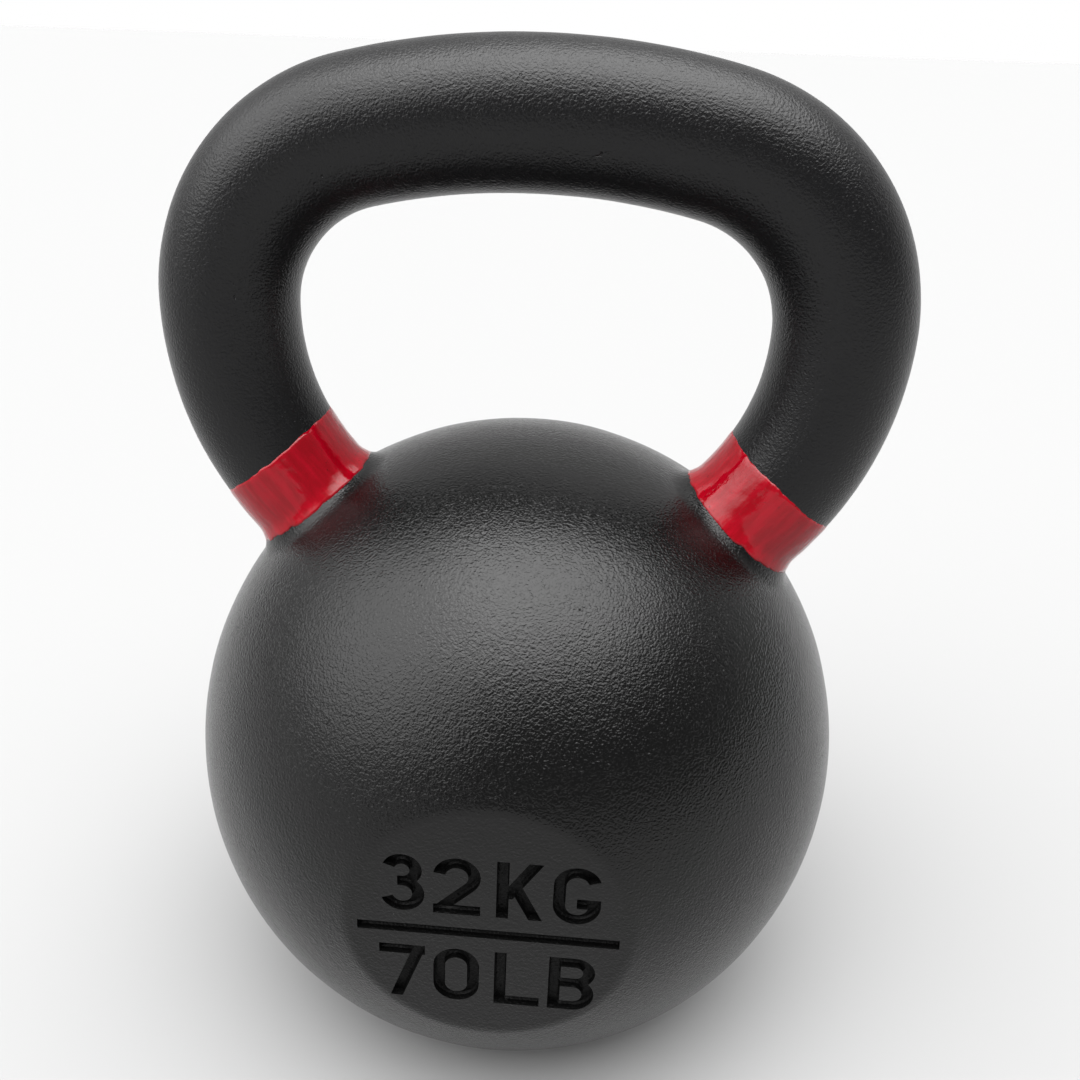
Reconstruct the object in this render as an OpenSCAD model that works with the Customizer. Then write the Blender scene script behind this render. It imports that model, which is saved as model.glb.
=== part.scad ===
// Cast-iron kettlebell: a ball with a flat base and two facets, a looped handle, and an enamel
// colour band round the foot of each horn. Millimetres. +Z is up, the front (with the weight
// mark) faces -Y, and the handle lies in the XZ plane. The origin is the centre of the base.

/* [Ball] */
// Outside diameter of the ball
ball_d = 199.4; // [196:0.1:206]
// Diameter of the flat that the ball stands on
base_d = 110; // [90:1:120]
// How far the front and back facets are set in from the ball's surface
facet_inset = 7.25; // [6.5:0.25:9]

/* [Handle] */
// Diameter of the round bar
grip_d = 38.5; // [35:0.5:40]
// Height of the bar's centreline above the ball's centre
grip_rise = 187; // [182:1:192]
// Radius of the slightly arched crown, at the centreline
crown_r = 205; // [190:5:230]
// Half of the angle that the crown turns through
crown_half = 13.4; // [13:0.1:14]
// Radius of the two upper corners, at the centreline
corner_r = 49.3; // [47:0.1:51]
// Angle that each corner turns through
corner_turn = 74.5; // [73:0.5:76]
// Radius of the flanks that curve in towards the ball, at the centreline
flank_r = 79.9; // [77:0.1:83]
// Radius of the concave fillet between a horn and the ball
fillet_r = 8; // [6:0.5:9]

/* [Colour bands] */
// Height of a band along its horn
band_h = 18.5; // [12:0.5:20]
// Thickness of the enamel
band_t = 0.25; // [0.2:0.05:0.5]

/* [Weight mark] */
// Height of a figure
figure_h = 18.3; // [15:0.1:18.5]
// Width of a figure
figure_w = 12; // [11:0.1:12]
// Width of the engraved strokes
stroke_w = 3.1; // [2.4:0.1:3.2]
// Depth of the engraving
mark_depth = 2; // [1:0.1:3]
// Length of the rule between the two lines
rule_l = 67.5; // [50:0.5:70]
// Thickness of the rule
rule_w = 2.9; // [2:0.1:3.4]

/* [Hidden] */
$fn = 96;

ball_r = ball_d / 2;
bar_r = grip_d / 2;
ball_z = sqrt(pow(ball_r, 2) - pow(base_d / 2, 2)); // height of the ball's centre
facet_y = ball_r - facet_inset;                     // distance of a facet from the ball's centre

// The handle's centreline, from the ball's centre. Crown, corner and flank are tangent arcs, and
// the flank ends where its tangent points at the ball's centre, so a horn stands square on the ball.
crown_end = [crown_r * sin(crown_half), grip_rise - crown_r * (1 - cos(crown_half))];
corner_c = crown_end - corner_r * [sin(crown_half), cos(crown_half)];
flank_start = crown_half + corner_turn;
flank_c = corner_c + (corner_r - flank_r) * [sin(flank_start), cos(flank_start)];
root_u = sqrt(pow(norm(flank_c), 2) - pow(flank_r, 2)); // from the ball's centre to the flank's end
root_tilt = atan2(flank_c[1], flank_c[0]) - acos(root_u / norm(flank_c));

// Each stretch of bar is a hair thinner than the one above it and enters it by a short lap, so
// that their surfaces cross cleanly and don't lie in each other.
bar_step = 0.03;
bar_lap = 0.5;
corner_bar_r = bar_r - bar_step;
flank_bar_r = corner_bar_r - bar_step;

// A horn's foot, measured from the ball's centre along the horn. Its fillet is sunk a little into
// the ball, so that the two surfaces cross and don't just touch.
fillet_sink = 0.15;
fillet_v = bar_r + fillet_r;
fillet_u = sqrt(pow(ball_r + fillet_r, 2) - pow(fillet_v, 2)) - fillet_sink;
foot_u = 0.8 * ball_r; // where the foot's stem starts, inside the ball
band_u = ball_r;       // lower edge of a band
cut = 1;               // how far a cutting tool runs past a surface

// Weight mark, drawn about the centre of its rule
mark_drop = 2;      // the rule's centre below the ball's centre
line_gap = 4.5;     // between the rule and a line of figures
figure_gap = 2.2;   // between two figures of a number or a unit
unit_gap = 4;       // between a number and its unit
small_bowl_r = 3.5; // centreline radius of the upper bowl of a 3 or a B
large_bowl_r = (figure_h - stroke_w) / 2 - small_bowl_r;
half_w = stroke_w / 2;
round_r = (figure_w - stroke_w) / 2; // centreline radius of the round ends of 0, 2 and G
line_l = 4 * figure_w + 2 * figure_gap + unit_gap;

// ---- the bar, along the handle's centreline ----

function lap_turn(radius) = bar_lap / radius * 180 / PI;

// A stretch of round bar along an arc in the XZ plane, with angles counter-clockwise from +X
module bar_arc(centre, radius, from, to, r) {
    translate([centre[0], 0, centre[1]])
        rotate([90, 0, 0])
            rotate([0, 0, from])
                rotate_extrude(angle = to - from)
                    translate([radius, 0])
                        circle(r);
}

module crown() {
    bar_arc([0, grip_rise - crown_r], crown_r, 90 - crown_half, 90 + crown_half, bar_r);
}

module right_corner() {
    bar_arc(corner_c, corner_r, 90 - flank_start, 90 - crown_half + lap_turn(corner_r), corner_bar_r);
}

// The flank ends level with the top of the horn's foot, or a lap below it
module right_flank(grow = 0, foot_lap = 0) {
    bar_arc(flank_c, flank_r, root_tilt - 90 - foot_lap, 90 - flank_start + lap_turn(flank_r),
        flank_bar_r + grow);
}

// Puts something drawn round +Z onto the right horn's axis, which starts at the ball's centre
module on_right_horn() {
    rotate([0, 90 - root_tilt, 0]) children();
}

// The foot of a horn: a round stem with a concave fillet, drawn round +Z from the ball's centre
module horn_foot(grow = 0) {
    rotate_extrude() {
        translate([0, foot_u]) square([bar_r + grow, root_u - foot_u]);
        difference() {
            translate([0, foot_u]) square([fillet_v, fillet_u - foot_u]);
            translate([fillet_v, fillet_u]) circle(fillet_r - grow);
        }
    }
}

// ---- weight mark, drawn flat with X to the right and Y up ----

module stroke(from, to, w = stroke_w) {
    run = to - from;
    translate(from)
        rotate(atan2(run[1], run[0]))
            translate([0, -w / 2])
                square([norm(run), w]);
}

module arc_stroke(centre, radius, from, to) {
    reach = 3 * radius;
    translate(centre)
        intersection() {
            difference() {
                circle(radius + half_w);
                circle(radius - half_w);
            }
            polygon(concat([[0, 0]],
                [for (i = [0:6]) let (a = from + (to - from) * i / 6) reach * [cos(a), sin(a)]]));
        }
}

// Keeps a slanted stroke inside the figure's own box
module trim_to_figure() {
    intersection() {
        union() children();
        square([figure_w, figure_h]);
    }
}

module left_stem() {
    stroke([half_w, 0], [half_w, figure_h]);
}

module bottom_bar() {
    stroke([0, half_w], [figure_w, half_w]);
}

module figure_3() {
    low = [figure_w - half_w - large_bowl_r, half_w + large_bowl_r];
    high = [low[0], figure_h - half_w - small_bowl_r];
    arc_stroke(low, large_bowl_r, -160, 90);
    arc_stroke(high, small_bowl_r, -90, 160);
}

module figure_2() {
    top = [figure_w / 2, figure_h - half_w - round_r];
    shoulder = top + round_r * [cos(-35), sin(-35)];
    arc_stroke(top, round_r, -35, 170);
    trim_to_figure() stroke([half_w / 2, half_w / 2], shoulder + [half_w, half_w] / 2);
    bottom_bar();
}

module figure_K() {
    left_stem();
    trim_to_figure() {
        stroke([stroke_w, figure_h / 3], [figure_w - half_w, figure_h + cut]);
        stroke([0.4 * figure_w, 0.6 * figure_h], [figure_w - half_w + 0.5, -cut]);
    }
}

module figure_G() {
    right_x = figure_w - half_w;
    tongue_y = 0.45 * figure_h;
    arc_stroke([figure_w / 2, figure_h - half_w - round_r], round_r, 15, 180);
    arc_stroke([figure_w / 2, half_w + round_r], round_r, -180, 0);
    stroke([half_w, half_w + round_r], [half_w, figure_h - half_w - round_r]);
    stroke([right_x, half_w + round_r], [right_x, tongue_y]);
    stroke([figure_w / 2, tongue_y - half_w], [figure_w, tongue_y - half_w]);
}

module figure_7() {
    stroke([0, figure_h - half_w], [figure_w, figure_h - half_w]);
    trim_to_figure() stroke([0.3 * figure_w, -cut], [figure_w - half_w, figure_h - half_w]);
}

module figure_0() {
    arc_stroke([figure_w / 2, figure_h - half_w - round_r], round_r, 0, 180);
    arc_stroke([figure_w / 2, half_w + round_r], round_r, -180, 0);
    for (x = [half_w, figure_w - half_w])
        stroke([x, half_w + round_r], [x, figure_h - half_w - round_r]);
}

module figure_L() {
    left_stem();
    bottom_bar();
}

// Two bowls that stand on each other against a stem
module figure_B() {
    left_stem();
    for (bowl = [[half_w, large_bowl_r], [half_w + 2 * large_bowl_r, small_bowl_r]]) {
        bottom = bowl[0];
        r = bowl[1];
        turn_x = figure_w - half_w - r;
        arc_stroke([turn_x, bottom + r], r, -90, 90);
        for (y = [bottom, bottom + 2 * r])
            stroke([half_w, y], [turn_x, y]);
    }
}

// Places one of a line's four figures: the first two are the number, the last two its unit
module place_figure(column, bottom) {
    gaps = column * figure_gap + (column > 1 ? unit_gap - figure_gap : 0);
    translate([column * figure_w + gaps - line_l / 2, bottom]) children();
}

module weight_mark() {
    upper = rule_w / 2 + line_gap;
    lower = -upper - figure_h;
    stroke([-rule_l / 2, 0], [rule_l / 2, 0], rule_w);
    place_figure(0, upper) figure_3();
    place_figure(1, upper) figure_2();
    place_figure(2, upper) figure_K();
    place_figure(3, upper) figure_G();
    place_figure(0, lower) figure_7();
    place_figure(1, lower) figure_0();
    place_figure(2, lower) figure_L();
    place_figure(3, lower) figure_B();
}

// ---- pieces, drawn from the ball's centre and then lifted onto the base ----

module on_base() {
    translate([0, 0, ball_z]) children();
}

module both_sides() {
    for (side = [0, 1]) mirror([side, 0, 0]) children();
}

// The solid iron ball, with the feet of both horns
module ball() {
    color([0.07, 0.07, 0.075])
        on_base()
            difference() {
                union() {
                    sphere(ball_r);
                    both_sides() on_right_horn() horn_foot();
                }
                translate([-ball_r, -ball_r, -ball_z - ball_r])
                    cube([ball_d, ball_d, ball_r]);
                for (side = [0, 1])
                    mirror([0, side, 0])
                        translate([-ball_r, -facet_y - ball_r, -ball_r])
                            cube([ball_d, ball_r, ball_d]);
                translate([0, mark_depth - facet_y, -mark_drop])
                    rotate([90, 0, 0])
                        linear_extrude(mark_depth + cut)
                            weight_mark();
            }
}

// The looped bar, whose two ends meet the horns' feet under the colour bands
module handle() {
    color([0.06, 0.06, 0.065])
        on_base() {
            crown();
            both_sides() {
                right_corner();
                right_flank();
            }
        }
}

// A thin coat of enamel round the lower end of the right horn
module band_shape() {
    difference() {
        intersection() {
            union() {
                on_right_horn() horn_foot(band_t);
                right_flank(band_t, lap_turn(flank_r));
            }
            on_right_horn()
                translate([0, 0, band_u])
                    cylinder(r = fillet_v, h = band_h);
        }
        on_right_horn() horn_foot();
        right_flank(0, lap_turn(flank_r));
    }
}

module left_colour_band() {
    color([0.72, 0.01, 0.03])
        on_base() mirror([1, 0, 0]) band_shape();
}

module right_colour_band() {
    color([0.72, 0.01, 0.03])
        on_base() band_shape();
}

ball();
handle();
left_colour_band();
right_colour_band();
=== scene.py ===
"""A 32 kg cast-iron kettlebell: ball, looped handle and two enamel colour bands, on a pale floor."""

from math import acos, atan2, cos, pi, radians, sin, sqrt

import bmesh
import bpy
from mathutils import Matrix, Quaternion, Vector


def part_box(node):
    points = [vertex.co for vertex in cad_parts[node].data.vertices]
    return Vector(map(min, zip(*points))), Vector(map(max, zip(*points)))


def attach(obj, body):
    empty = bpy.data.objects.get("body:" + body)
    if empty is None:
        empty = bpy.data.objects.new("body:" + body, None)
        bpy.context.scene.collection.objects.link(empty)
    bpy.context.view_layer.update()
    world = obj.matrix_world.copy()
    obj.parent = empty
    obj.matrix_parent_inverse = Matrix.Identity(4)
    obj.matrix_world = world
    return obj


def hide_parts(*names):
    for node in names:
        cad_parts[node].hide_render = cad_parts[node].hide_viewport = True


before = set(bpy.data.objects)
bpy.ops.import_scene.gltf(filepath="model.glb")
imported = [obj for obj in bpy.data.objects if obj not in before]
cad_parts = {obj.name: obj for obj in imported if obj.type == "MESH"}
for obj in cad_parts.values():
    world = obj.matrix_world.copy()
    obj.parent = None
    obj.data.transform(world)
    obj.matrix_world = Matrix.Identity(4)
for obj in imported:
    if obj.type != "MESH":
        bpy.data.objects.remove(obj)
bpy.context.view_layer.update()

# ---- The view and the studio ----
# The bell stands on a pale floor and is looked down on from close in front, so that the handle,
# which is nearer, looms over the ball. The room is paler behind than in front, and soft light
# comes from overhead and from the left.

MM = 0.001
ball_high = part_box("ball")[1]
handle_low, handle_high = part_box("handle")
ball_r = 99.7 * MM
base_r = 55 * MM
bar_r = (handle_high.y - handle_low.y) / 2
ball_centre = Vector((0, 0, sqrt(ball_r**2 - base_r**2)))
camera_turn, camera_lift, camera_roll = 3.5, 34.98, 2.03
camera_reach = 3.606 * ball_r               # from the ball's centre
camera_target = ball_centre + Vector((-0.009, 0, 0.642)) * ball_r


def towards(turn, lift):
    """A direction: degrees round from straight in front towards +X, and degrees above level."""
    turn, lift = radians(turn), radians(lift)
    return Vector((sin(turn) * cos(lift), -cos(turn) * cos(lift), sin(lift)))


def aim(thing, target, roll=0):
    thing.rotation_mode = "QUATERNION"
    sight = (target - thing.location).to_track_quat("-Z", "Y")
    thing.rotation_quaternion = sight @ Quaternion((0, 0, 1), radians(roll))


bpy.ops.object.select_all(action="DESELECT")
bpy.ops.object.camera_add(location=ball_centre + camera_reach * towards(camera_turn, camera_lift))
camera = bpy.context.object
camera.name = "camera"
aim(camera, camera_target, roll=camera_roll)
camera.data.lens = 35.53
camera.data.sensor_width = 36
camera.data.shift_x = 0.0177
camera.data.shift_y = 0.0056
camera.data.clip_start = 0.01
bpy.context.scene.camera = camera
bpy.context.scene.view_settings.view_transform = "Standard"


class Signal:
    """A socket in a shader. Arithmetic on it adds Math nodes, and node() adds any other."""

    def __init__(self, tree, socket=None):
        self.tree, self.socket = tree, socket

    def node(self, kind, inputs=(), output=0, **settings):
        made = self.tree.nodes.new(kind)
        for name, value in settings.items():
            setattr(made, name, value)
        for name, value in dict(inputs).items():
            if isinstance(value, Signal):
                self.tree.links.new(value.socket, made.inputs[name])
            else:
                made.inputs[name].default_value = value
        return Signal(self.tree, made.outputs[output])

    def math(self, operation, a, b):
        return self.node("ShaderNodeMath", {0: a, 1: b}, operation=operation)

    def fade(self, start, end, low=0, high=1):
        """Goes smoothly from low to high as this value goes from start to end."""
        levels = {"Value": self, "From Min": start, "From Max": end, "To Min": low, "To Max": high}
        return self.node("ShaderNodeMapRange", levels, interpolation_type="SMOOTHSTEP")

    def blend(self, start, end):
        """A colour that goes from start to end as this value goes from 0 to 1."""
        return self.node("ShaderNodeMix", {0: self, 6: start, 7: end}, output=2, data_type="RGBA")

    def plug(self, socket):
        self.tree.links.new(self.socket, socket)

    def __add__(self, other):
        return self.math("ADD", self, other)

    def __sub__(self, other):
        return self.math("SUBTRACT", self, other)

    def __rsub__(self, other):
        return self.math("SUBTRACT", other, self)

    def __mul__(self, other):
        return self.math("MULTIPLY", self, other)

    __radd__, __rmul__ = __add__, __mul__


studio = bpy.data.worlds.new("studio")
bpy.context.scene.world = studio
studio.use_nodes = True
dome = studio.node_tree
sight = Signal(dome).node("ShaderNodeTexCoord", output="Generated")


def soft_light(turn, lift, inner, outer, glow):
    """A round soft light far off, which fades out between two half-angles in degrees."""
    nearness = sight.node("ShaderNodeVectorMath", {0: sight, 1: towards(turn, lift)},
                          output="Value", operation="DOT_PRODUCT")
    return nearness.fade(cos(radians(outer)), cos(radians(inner)), high=glow)


# Glows are in times the plain white that the camera sees round the floor.
backwards = sight.node("ShaderNodeSeparateXYZ", {0: sight}, output="Y")
room = (backwards.fade(-0.4, 0.7, low=0.25, high=0.75) + soft_light(60, 78, 0, 43, 7.3)
        + soft_light(-64, 46, 0, 48, 4.6))
seen = sight.node("ShaderNodeLightPath", output="Is Camera Ray")
(room + seen * (1.0 - room)).plug(dome.nodes["Background"].inputs["Strength"])
dome.nodes["Background"].inputs["Color"].default_value = (1, 1, 1, 1)

bpy.ops.mesh.primitive_plane_add(size=60, location=(0, 0, 0))
floor = bpy.context.object
floor.name = "floor"
paper = bpy.data.materials.new("pale_paper")
paper.use_nodes = True
paper_finish = paper.node_tree.nodes["Principled BSDF"]
paper_finish.inputs["Roughness"].default_value = 0.9
paper_finish.inputs["Specular IOR Level"].default_value = 0.1
paper_finish.inputs["Base Color"].default_value = (0.3, 0.3, 0.3, 1)
floor.data.materials.append(paper)

# ---- The ball ----
# One solid casting in grey iron with a flat base, a flat facet in front and one behind, and the
# filleted feet of the two horns. It is a round ball opened at one horn, mirrored, then faceted.

# The handle is a chain of tangent arcs, and each horn ends where it points at the ball's centre,
# so the arcs say where the feet stand.
crown_rise = handle_high.z - bar_r - ball_centre.z
crown_r, corner_r, flank_r = 205 * MM, 49.3 * MM, 79.9 * MM
crown_turn, corner_turn = radians(13.4), radians(74.5)
both_turns = crown_turn + corner_turn
crown_centre = ball_centre + Vector((0, 0, crown_rise - crown_r))
corner_centre = crown_centre + (crown_r - corner_r) * Vector((sin(crown_turn), 0, cos(crown_turn)))
flank_centre = corner_centre + (corner_r - flank_r) * Vector((sin(both_turns), 0, cos(both_turns)))
to_flank = flank_centre - ball_centre
root_u = sqrt(to_flank.length**2 - flank_r**2)
horn_tilt = atan2(to_flank.z, to_flank.x) - acos(root_u / to_flank.length)
horn_axis = Vector((cos(horn_tilt), 0, sin(horn_tilt)))

facet_y = ball_high.y
foot_fillet_r = 8 * MM
rim_fillet_r = 8 * MM
FORWARD, BACKWARD, DOWN = Vector((0, -1, 0)), Vector((0, 1, 0)), Vector((0, 0, -1))


def clear_selection():
    if bpy.context.object and bpy.context.object.mode != "OBJECT":
        bpy.ops.object.mode_set(mode="OBJECT")
    bpy.ops.object.select_all(action="DESELECT")


def settle():
    """Puts the active piece's place into its mesh."""
    bpy.ops.object.transform_apply(location=True, rotation=True, scale=True)


def grow_ring(start, axis, profile):
    """Extrudes the selected ring along a profile of (height on the axis, radius) points."""
    for (u, r), (next_u, next_r) in zip(profile, profile[1:]):
        bpy.ops.mesh.extrude_region_move()
        bpy.ops.transform.resize(value=(next_r / r,) * 3, center_override=start + u * axis)
        bpy.ops.transform.translate(value=(next_u - u) * axis)


def arc(centre, radius, start, end, steps):
    """Points (u, r) along an arc in the plane of an axis, from one angle to another."""
    angles = [start + (end - start) * i / steps for i in range(steps + 1)]
    return [(centre[0] + radius * cos(a), centre[1] + radius * sin(a)) for a in angles]


def apply(piece, kind, **settings):
    """Adds a modifier to a piece and applies it."""
    modifier = piece.modifiers.new(kind.lower(), kind)
    for name, value in settings.items():
        setattr(modifier, name, value)
    bpy.context.view_layer.objects.active = piece
    bpy.ops.object.modifier_apply(modifier=modifier.name)


def face_outwards():
    bpy.ops.object.mode_set(mode="EDIT")
    bpy.ops.mesh.select_all(action="SELECT")
    bpy.ops.mesh.normals_make_consistent(inside=False)
    bpy.ops.object.mode_set(mode="OBJECT")


# The sand mould leaves long, shallow swells in the surface.
swell = bpy.data.textures.new("mould_swell", "CLOUDS")
swell.noise_scale = 22 * MM
swell.noise_depth = 1
swell_height = 0.25 * MM

clear_selection()
bpy.ops.mesh.primitive_uv_sphere_add(segments=192, ring_count=96, radius=ball_r,
                                     location=ball_centre, rotation=(0, pi / 2 - horn_tilt, 0))
ball = bpy.context.object
ball.name = "iron_ball"
settle()
bpy.ops.object.mode_set(mode="EDIT")
bpy.ops.mesh.select_all(action="SELECT")
bpy.ops.mesh.bisect(plane_co=(0, 0, 0), plane_no=(1, 0, 0), clear_inner=True, threshold=1e-6)

# The right horn's foot: the ball is opened where the fillet starts, and the ring runs up the
# fillet and on along the stem, to the level where the handle begins.
fillet_v = bar_r + foot_fillet_r
fillet_u = sqrt((ball_r + foot_fillet_r)**2 - fillet_v**2)
foot_angle = atan2(fillet_v, fillet_u)
fillet = arc((fillet_u, fillet_v), foot_fillet_r, foot_angle - pi, -pi / 2, 14)
bpy.ops.mesh.select_all(action="SELECT")
bpy.ops.mesh.bisect(plane_co=ball_centre + fillet[0][0] * horn_axis, plane_no=horn_axis,
                    clear_outer=True, threshold=1e-6)
grow_ring(ball_centre, horn_axis, fillet + [(root_u, bar_r)])
bpy.ops.mesh.edge_face_add()
bpy.ops.object.mode_set(mode="OBJECT")
apply(ball, "MIRROR", merge_threshold=0.01 * MM)
face_outwards()
apply(ball, "DISPLACE", texture=swell, texture_coords="LOCAL", strength=swell_height)


def cut_flat(direction, height):
    """Flattens one side of the ball at a height from its centre, with a rounded rim."""
    centre_u = height - rim_fillet_r
    centre_v = sqrt((ball_r - rim_fillet_r)**2 - centre_u**2)
    rim = arc((centre_u, centre_v), rim_fillet_r, atan2(centre_v, centre_u), 0, 6)
    bpy.ops.mesh.select_all(action="SELECT")
    bpy.ops.mesh.bisect(plane_co=ball_centre + rim[0][0] * direction, plane_no=direction,
                        clear_outer=True, threshold=1e-6)
    grow_ring(ball_centre, direction, rim)
    bpy.ops.mesh.edge_face_add()


bpy.ops.object.mode_set(mode="EDIT")
for direction, height in ((FORWARD, facet_y), (BACKWARD, facet_y), (DOWN, ball_centre.z)):
    cut_flat(direction, height)
face_outwards()


def start_material(name):
    """A new material: its place on the object, and its shader's inputs."""
    material = bpy.data.materials.new(name)
    material.use_nodes = True
    tree = material.node_tree
    place = Signal(tree).node("ShaderNodeTexCoord", output="Object")
    return material, place, tree.nodes["Principled BSDF"].inputs


grain_size, grain_height = 0.42 * MM, 0.2 * MM
leather_scale = 0.62 / grain_size           # the noise whose bumps are a grain across
lump_scale, pinhole_scale = 0.06 / grain_size, 520


def powder_coat(name, colour=(0.0014, 0.0014, 0.0014, 1), grain=1.0, roughness=0.22, shine=0.3):
    """Black powder coat: a satin film with a fine leathery grain and a few pinholes."""
    material, place, shader = start_material(name)
    leather = place.node("ShaderNodeTexNoise", {"Vector": place, "Scale": leather_scale, "Detail": 1,
                                                "Roughness": 0.4, "Distortion": 0.5})
    lumps = place.node("ShaderNodeTexNoise", {"Vector": place, "Scale": lump_scale, "Detail": 2,
                                              "Roughness": 0.5})
    pinholes = place.node("ShaderNodeTexNoise", {"Vector": place, "Scale": pinhole_scale, "Detail": 0})
    relief = leather + 0.3 * lumps - 2.0 * pinholes.fade(0.86, 0.9)
    bump = place.node("ShaderNodeBump", {"Height": relief, "Strength": 1.0,
                                         "Distance": grain * grain_height})
    bump.plug(shader["Normal"])
    shader["Base Color"].default_value = colour
    shader["Roughness"].default_value = roughness
    shader["Specular IOR Level"].default_value = shine
    return material


ball.data.materials.append(powder_coat("ball_powder_coat"))

# The weight mark is sunk into the front facet: kilograms over pounds, with a rule between. It is
# cut in strokes, and each stroke is the outline of a round-bottomed cutter drawn along its path.
mark_drop = 2 * MM              # the rule's centre below the ball's centre
mark_depth = 2.2 * MM
line_gap = 4.5 * MM             # between the rule and a line of figures
figure_w, figure_h = 12 * MM, 18.3 * MM
figure_gap, unit_gap = 2.2 * MM, 4 * MM
stroke_w = 3.1 * MM
half_w = stroke_w / 2
rule_l, rule_w = 67.5 * MM, 2.9 * MM
round_r = (figure_w - stroke_w) / 2         # centreline radius of the round ends of 0, 2 and G
small_bowl_r = 3.5 * MM                     # centreline radius of the upper bowl of a 3 or a B
large_bowl_r = (figure_h - stroke_w) / 2 - small_bowl_r
groove_round = 0.36                         # rounding of a stroke's bottom, in times its width
top_round = Vector((figure_w / 2, 0, figure_h - half_w - round_r))
low_round = Vector((figure_w / 2, 0, half_w + round_r))
side_run = top_round.z - low_round.z


# The coat lies dull at the bottom of the mark.
dull_coat = powder_coat("mark_powder_coat", grain=1.5, roughness=0.45, shine=0.12)


def on_round(centre, radius, angle):
    return centre + radius * Vector((cos(radians(angle)), 0, sin(radians(angle))))


def stroke(start, lean, *moves, width=stroke_w):
    """Cuts one stroke, from a start measured from the figure's corner. The cutter's outline leans
    by so many degrees, and each move is a straight run (x, z) or a bend (centre, degrees)."""
    clear_selection()
    bpy.ops.mesh.primitive_plane_add(size=1, location=corner + start,
                                     rotation=(0, -radians(lean), 0))
    cutter = bpy.context.object
    cutter.data.materials.append(dull_coat)
    cutter.scale = (width, 2 * mark_depth, 1)
    settle()
    bpy.ops.object.mode_set(mode="EDIT")
    shape = bmesh.from_edit_mesh(cutter.data)
    for vertex in shape.verts:
        vertex.select = vertex.co.y > -facet_y
    shape.select_flush(False)
    bpy.ops.mesh.bevel(affect="VERTICES", offset=groove_round * width, segments=3, profile=0.7)
    bpy.ops.mesh.select_all(action="SELECT")
    bpy.ops.mesh.delete(type="ONLY_FACE")
    bpy.ops.mesh.select_all(action="SELECT")
    for where, turn in moves:
        if isinstance(where, Vector):
            bpy.ops.mesh.spin(steps=max(2, round(abs(turn) / 9)), angle=radians(turn),
                              center=corner + where, axis=(0, 1, 0))
        else:
            bpy.ops.mesh.extrude_region_move()
            bpy.ops.transform.translate(value=(where, 0, turn))
    bpy.ops.mesh.select_all(action="SELECT")
    bpy.ops.mesh.remove_doubles(threshold=1e-6)
    bpy.ops.mesh.fill_holes(sides=0)
    face_outwards()
    apply(ball, "BOOLEAN", object=cutter, operation="DIFFERENCE", solver="EXACT",
          material_mode="TRANSFER")
    bpy.data.objects.remove(cutter)


def stem():
    stroke(Vector((half_w, 0, 0)), 0, (0, figure_h))


def bar(z, start=0.0):
    stroke(Vector((start, 0, z)), 90, (figure_w - start, 0))


def slant(foot, run):
    """A slanted stroke with level ends, from the middle of its foot."""
    stroke(Vector(foot), 0, run, width=stroke_w * Vector(run).length / run[1])


def figure_3():
    low = Vector((figure_w - half_w - large_bowl_r, 0, half_w + large_bowl_r))
    high = Vector((low.x, 0, figure_h - half_w - small_bowl_r))
    stroke(on_round(low, large_bowl_r, -160), -160, (low, 250), (-1.2 * MM, 0))
    stroke(on_round(high, small_bowl_r, 160), 160, (high, -250))


def figure_2():
    end = on_round(top_round, round_r, -45)
    stroke(on_round(top_round, round_r, 170), 170, (top_round, -215),
           (half_w - end.x, half_w - end.z))
    bar(half_w)


def figure_K():
    stem()
    slant((2.2 * MM, 0, 6.5 * MM), (7.6 * MM, figure_h - 6.5 * MM))
    slant((figure_w - 2 * MM, 0, 0), (-5.1 * MM, 10.2 * MM))


def figure_G():
    tongue_z = 0.45 * figure_h
    stroke(on_round(top_round, round_r, 18), 18, (top_round, 162), (0, -side_run),
           (low_round, 180), (0, tongue_z - low_round.z))
    bar(tongue_z - half_w, start=figure_w / 2)


def figure_7():
    bar(figure_h - half_w)
    slant((0.36 * figure_w, 0, 0), (0.49 * figure_w, figure_h - half_w))


def figure_0():
    stroke(on_round(low_round, round_r, 180), 0, (0, side_run), (top_round, -180),
           (0, -side_run), (low_round, -180))


def figure_L():
    stem()
    bar(half_w, start=half_w)


def figure_B():
    stem()
    for bottom, r in ((half_w, large_bowl_r), (half_w + 2 * large_bowl_r, small_bowl_r)):
        turn_x = figure_w - half_w - r
        stroke(Vector((half_w, 0, bottom)), 90, (turn_x - half_w, 0),
               (Vector((turn_x, 0, bottom + r)), 180), (half_w - turn_x, 0))


rule_middle = Vector((0, -facet_y, ball_centre.z - mark_drop))
line_l = 4 * figure_w + 2 * figure_gap + unit_gap
upper_line = rule_w / 2 + line_gap
marks = [(lambda: stroke(Vector(), 90, (rule_l, 0), width=rule_w), Vector((-rule_l / 2, 0, 0)))]
for line, bottom in (((figure_3, figure_2, figure_K, figure_G), upper_line),
                     ((figure_7, figure_0, figure_L, figure_B), -upper_line - figure_h)):
    for column, figure in enumerate(line):
        gaps = column * figure_gap + (column > 1) * (unit_gap - figure_gap)
        marks.append((figure, Vector((column * figure_w + gaps - line_l / 2, 0, bottom))))
for draw, place in marks:
    corner = rule_middle + place            # where stroke() measures from
    draw()
clear_selection()
apply(ball, "BEVEL", width=0.3 * MM, segments=2, limit_method="ANGLE", angle_limit=radians(60))
bpy.ops.object.shade_smooth_by_angle(angle=radians(40))
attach(ball, "root")
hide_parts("ball")
# ---- The handle ----
# A round bar bent in one loop: an arched crown, two tight corners and two flanks that come in to
# meet the ball square on. It is drawn out along the right half of the loop, and mirrored.

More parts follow.
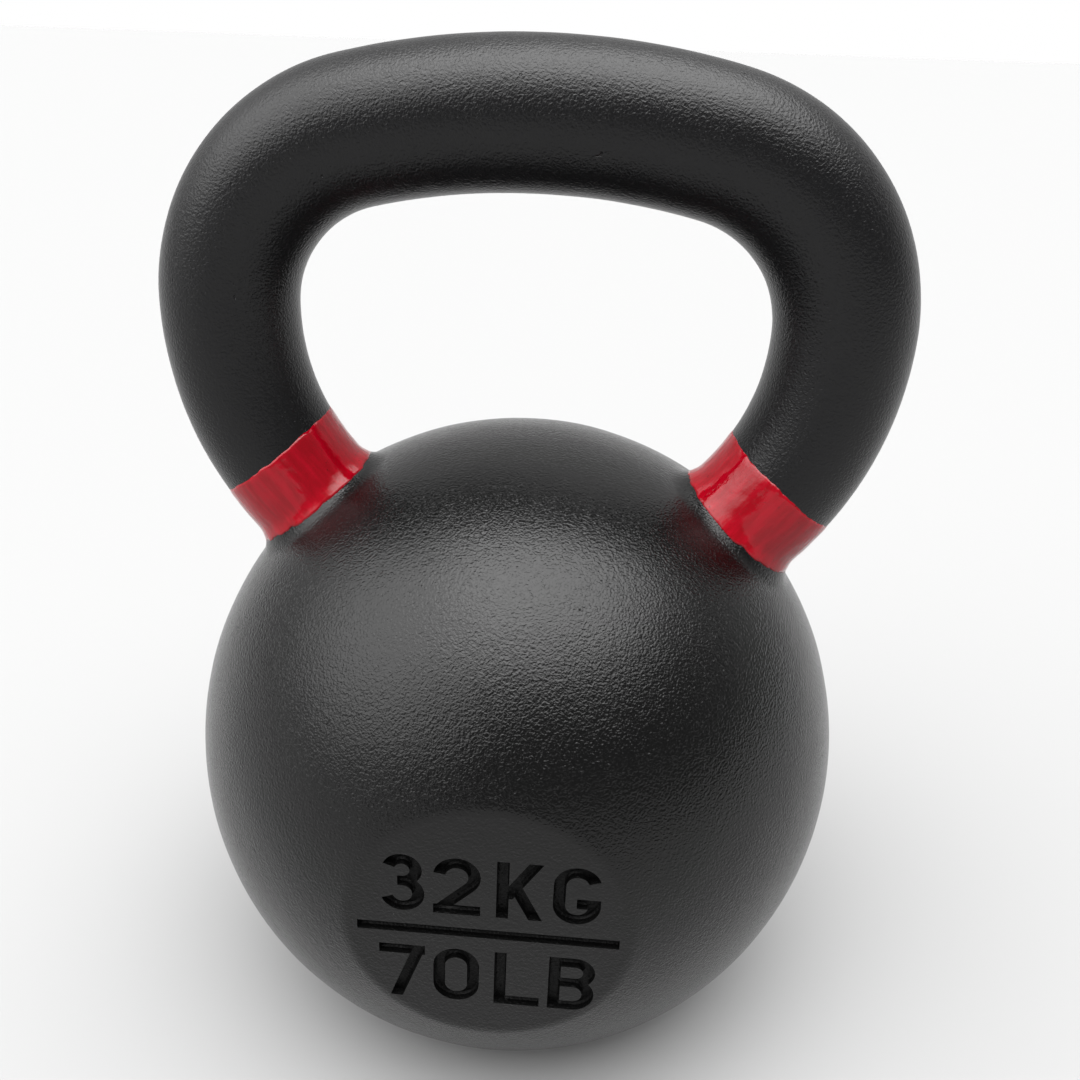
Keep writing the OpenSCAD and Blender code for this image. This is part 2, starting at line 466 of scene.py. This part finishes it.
flank_turn = pi - both_turns - horn_tilt
clear_selection()
bpy.ops.mesh.primitive_circle_add(vertices=72, radius=bar_r, rotation=(0, pi / 2, 0),
                                  location=crown_centre + Vector((0, 0, crown_r)))
handle = bpy.context.object
handle.name = "iron_handle"
settle()
bpy.ops.object.mode_set(mode="EDIT")
bpy.ops.mesh.select_all(action="SELECT")
for centre, turn, steps in ((crown_centre, crown_turn, 24), (corner_centre, corner_turn, 40),
                            (flank_centre, flank_turn, 30)):
    bpy.ops.mesh.spin(steps=steps, angle=turn, center=centre, axis=(0, -1, 0))
bpy.ops.mesh.edge_face_add()
bpy.ops.object.mode_set(mode="OBJECT")
apply(handle, "MIRROR", merge_threshold=0.01 * MM)
face_outwards()
apply(handle, "DISPLACE", texture=swell, texture_coords="LOCAL", strength=swell_height)
bpy.ops.object.shade_smooth_by_angle(angle=radians(40))
# The handle wears the same black powder coat as the ball, with a slightly purple tone. Its base colour
# is made twice as light as the ball's, which is painted light on the handle.
handle.data.materials.clear()
handle.data.materials.append(powder_coat("handle_powder_coat_painted_lighter", colour=(0.0028, 0.0027, 0.0031, 1),
                                         roughness=0.3))
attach(handle, "root")
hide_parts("handle")

# ---- The colour bands ----
# Red enamel brushed round the foot of each horn: a thin glossy skin with uneven edges, which
# follows the casting from the fillet up on to the bar.

band_u = ball_r                 # the lower edge, along the horn from the ball's centre
band_h = 18.5 * MM
band_rows = 26
film_t = 0.22 * MM
sunk_t = 0.05 * MM              # how far the skin's inner wall is sunk in the casting
foot_r = fillet_v - sqrt(foot_fillet_r**2 - (fillet_u - band_u)**2)

clear_selection()
for source in (ball, handle):
    source.select_set(True)
bpy.context.view_layer.objects.active = ball
bpy.ops.object.duplicate()
bpy.ops.object.join()
casting = bpy.context.object

brush_edge = bpy.data.textures.new("brush_edge", "CLOUDS")
brush_edge.noise_scale = 5 * MM
brush_edge.noise_depth = 3
pooling = bpy.data.textures.new("pooled_enamel", "CLOUDS")
pooling.noise_scale = 5 * MM


def colour_band(name, node, side):
    """Makes the band on one horn: side is 1 on the right and -1 on the left."""
    axis = Vector((side * horn_axis.x, 0, horn_axis.z))
    clear_selection()
    bpy.ops.mesh.primitive_circle_add(vertices=300, radius=foot_r,
                                      location=ball_centre + band_u * axis,
                                      rotation=(0, side * (pi / 2 - horn_tilt), 0))
    band = bpy.context.object
    band.name = name
    settle()
    bpy.ops.object.mode_set(mode="EDIT")
    bpy.ops.mesh.select_all(action="SELECT")
    step = band_h / band_rows
    radii = [foot_r + (bar_r - foot_r) * min(1, i * step / (fillet_u - band_u))
             for i in range(band_rows + 1)]
    grow_ring(ball_centre, axis, [(band_u + i * step, r) for i, r in enumerate(radii)])
    face_outwards()

    rises = [(vertex.co - ball_centre).dot(axis) - band_u for vertex in band.data.vertices]
    for group_name, weight in (("lower", lambda rise: 1 - rise / (5 * MM)),
                               ("upper", lambda rise: 1 - (band_h - rise) / (5 * MM)),
                               ("full", lambda rise: min(rise, band_h - rise) / (1.4 * MM))):
        group = band.vertex_groups.new(name=group_name)
        for index, rise in enumerate(rises):
            group.add([index], max(0, min(1, weight(rise))), "REPLACE")
    for edge, wander in (("lower", 2.4 * MM), ("upper", 1.5 * MM)):
        for direction, share in (("X", axis.x), ("Z", axis.z)):
            apply(band, "DISPLACE", texture=brush_edge, texture_coords="LOCAL", space="LOCAL",
                  direction=direction, vertex_group=edge, strength=wander * share)
    apply(band, "SHRINKWRAP", target=casting, wrap_method="NEAREST_SURFACEPOINT",
          wrap_mode="ABOVE_SURFACE", offset=-sunk_t)
    apply(band, "SOLIDIFY", thickness=film_t + sunk_t, offset=1, vertex_group="full",
          thickness_vertex_group=0.22)
    apply(band, "DISPLACE", texture=pooling, texture_coords="LOCAL", vertex_group="full",
          strength=0.15 * MM)
    clear_selection()
    band.select_set(True)
    bpy.context.view_layer.objects.active = band
    bpy.ops.object.shade_smooth()
    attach(band, "root")
    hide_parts(node)
    return band


def enamel(name, side):
    """Glossy red enamel, with brush streaks along the horn, sags and specks of dirt."""
    material, place, shader = start_material(name)
    along = place.node("ShaderNodeMapping", {"Vector": place,
                                             "Rotation": (0, side * (horn_tilt - pi / 2), 0)})
    stretched = along.node("ShaderNodeVectorMath", {0: along, 1: (1, 1, 0.15)}, operation="MULTIPLY")
    streaks = stretched.node("ShaderNodeTexNoise", {"Vector": stretched, "Scale": 600, "Detail": 2})
    sags = place.node("ShaderNodeTexNoise", {"Vector": place, "Scale": 260, "Detail": 1})
    leather = place.node("ShaderNodeTexNoise", {"Vector": place, "Scale": leather_scale, "Detail": 1})
    patches = place.node("ShaderNodeTexNoise", {"Vector": place, "Scale": 70, "Detail": 2})
    dirt = place.node("ShaderNodeTexNoise", {"Vector": place, "Scale": 1100, "Detail": 1})
    relief = 0.16 * sags + 0.08 * streaks + 0.025 * leather
    bump = place.node("ShaderNodeBump", {"Height": relief, "Strength": 1.0, "Distance": 1 * MM})
    bump.plug(shader["Normal"])
    red = streaks.fade(0.35, 0.7).blend((0.22, 0.0004, 0.005, 1), (0.28, 0.0006, 0.008, 1))
    specks = dirt.fade(0.66, 0.74) * patches.fade(0.5, 0.62)
    (0.75 * specks).blend(red, (0.018, 0.0024, 0.0024, 1)).plug(shader["Base Color"])
    shader["Roughness"].default_value = 0.1
    shader["Specular IOR Level"].default_value = 0.3
    return material


for name, node, side in (("left_enamel_band", "left_colour_band", -1),
                         ("right_enamel_band", "right_colour_band", 1)):
    band = colour_band(name, node, side)
    band.data.materials.clear()
    band.data.materials.append(enamel(name.replace("_band", ""), side))
bpy.data.objects.remove(casting)
